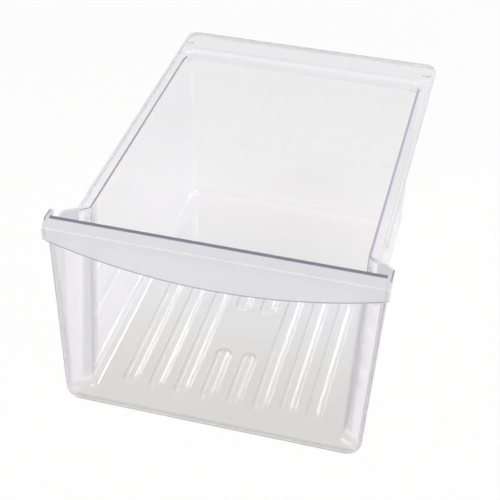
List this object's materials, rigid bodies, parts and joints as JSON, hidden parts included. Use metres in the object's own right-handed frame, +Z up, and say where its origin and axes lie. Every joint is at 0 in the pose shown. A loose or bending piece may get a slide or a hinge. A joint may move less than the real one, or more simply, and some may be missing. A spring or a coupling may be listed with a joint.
{
  "type": "fridge crisper drawer",
  "caption": "Clear one-piece moulded fridge crisper drawer: open tub with a ribbed floor, a leaning wider front with a frosted curved band, and a turned-down flange that runs on rails.",
  "frame": {"origin": "under the middle of the drawer's bounding box, on the surface it stands on", "axes": "+Z up, -Y towards the front panel that is pulled, +X to the right seen from the front"},
  "size_m": [0.323, 0.43, 0.215],
  "materials": {
    "clear_plastic": "clear, glossy, frosted on the band along the front"
  },
  "bodies": {
    "root": {"crisper_drawer": "clear_plastic"}
  },
  "joints": []
}
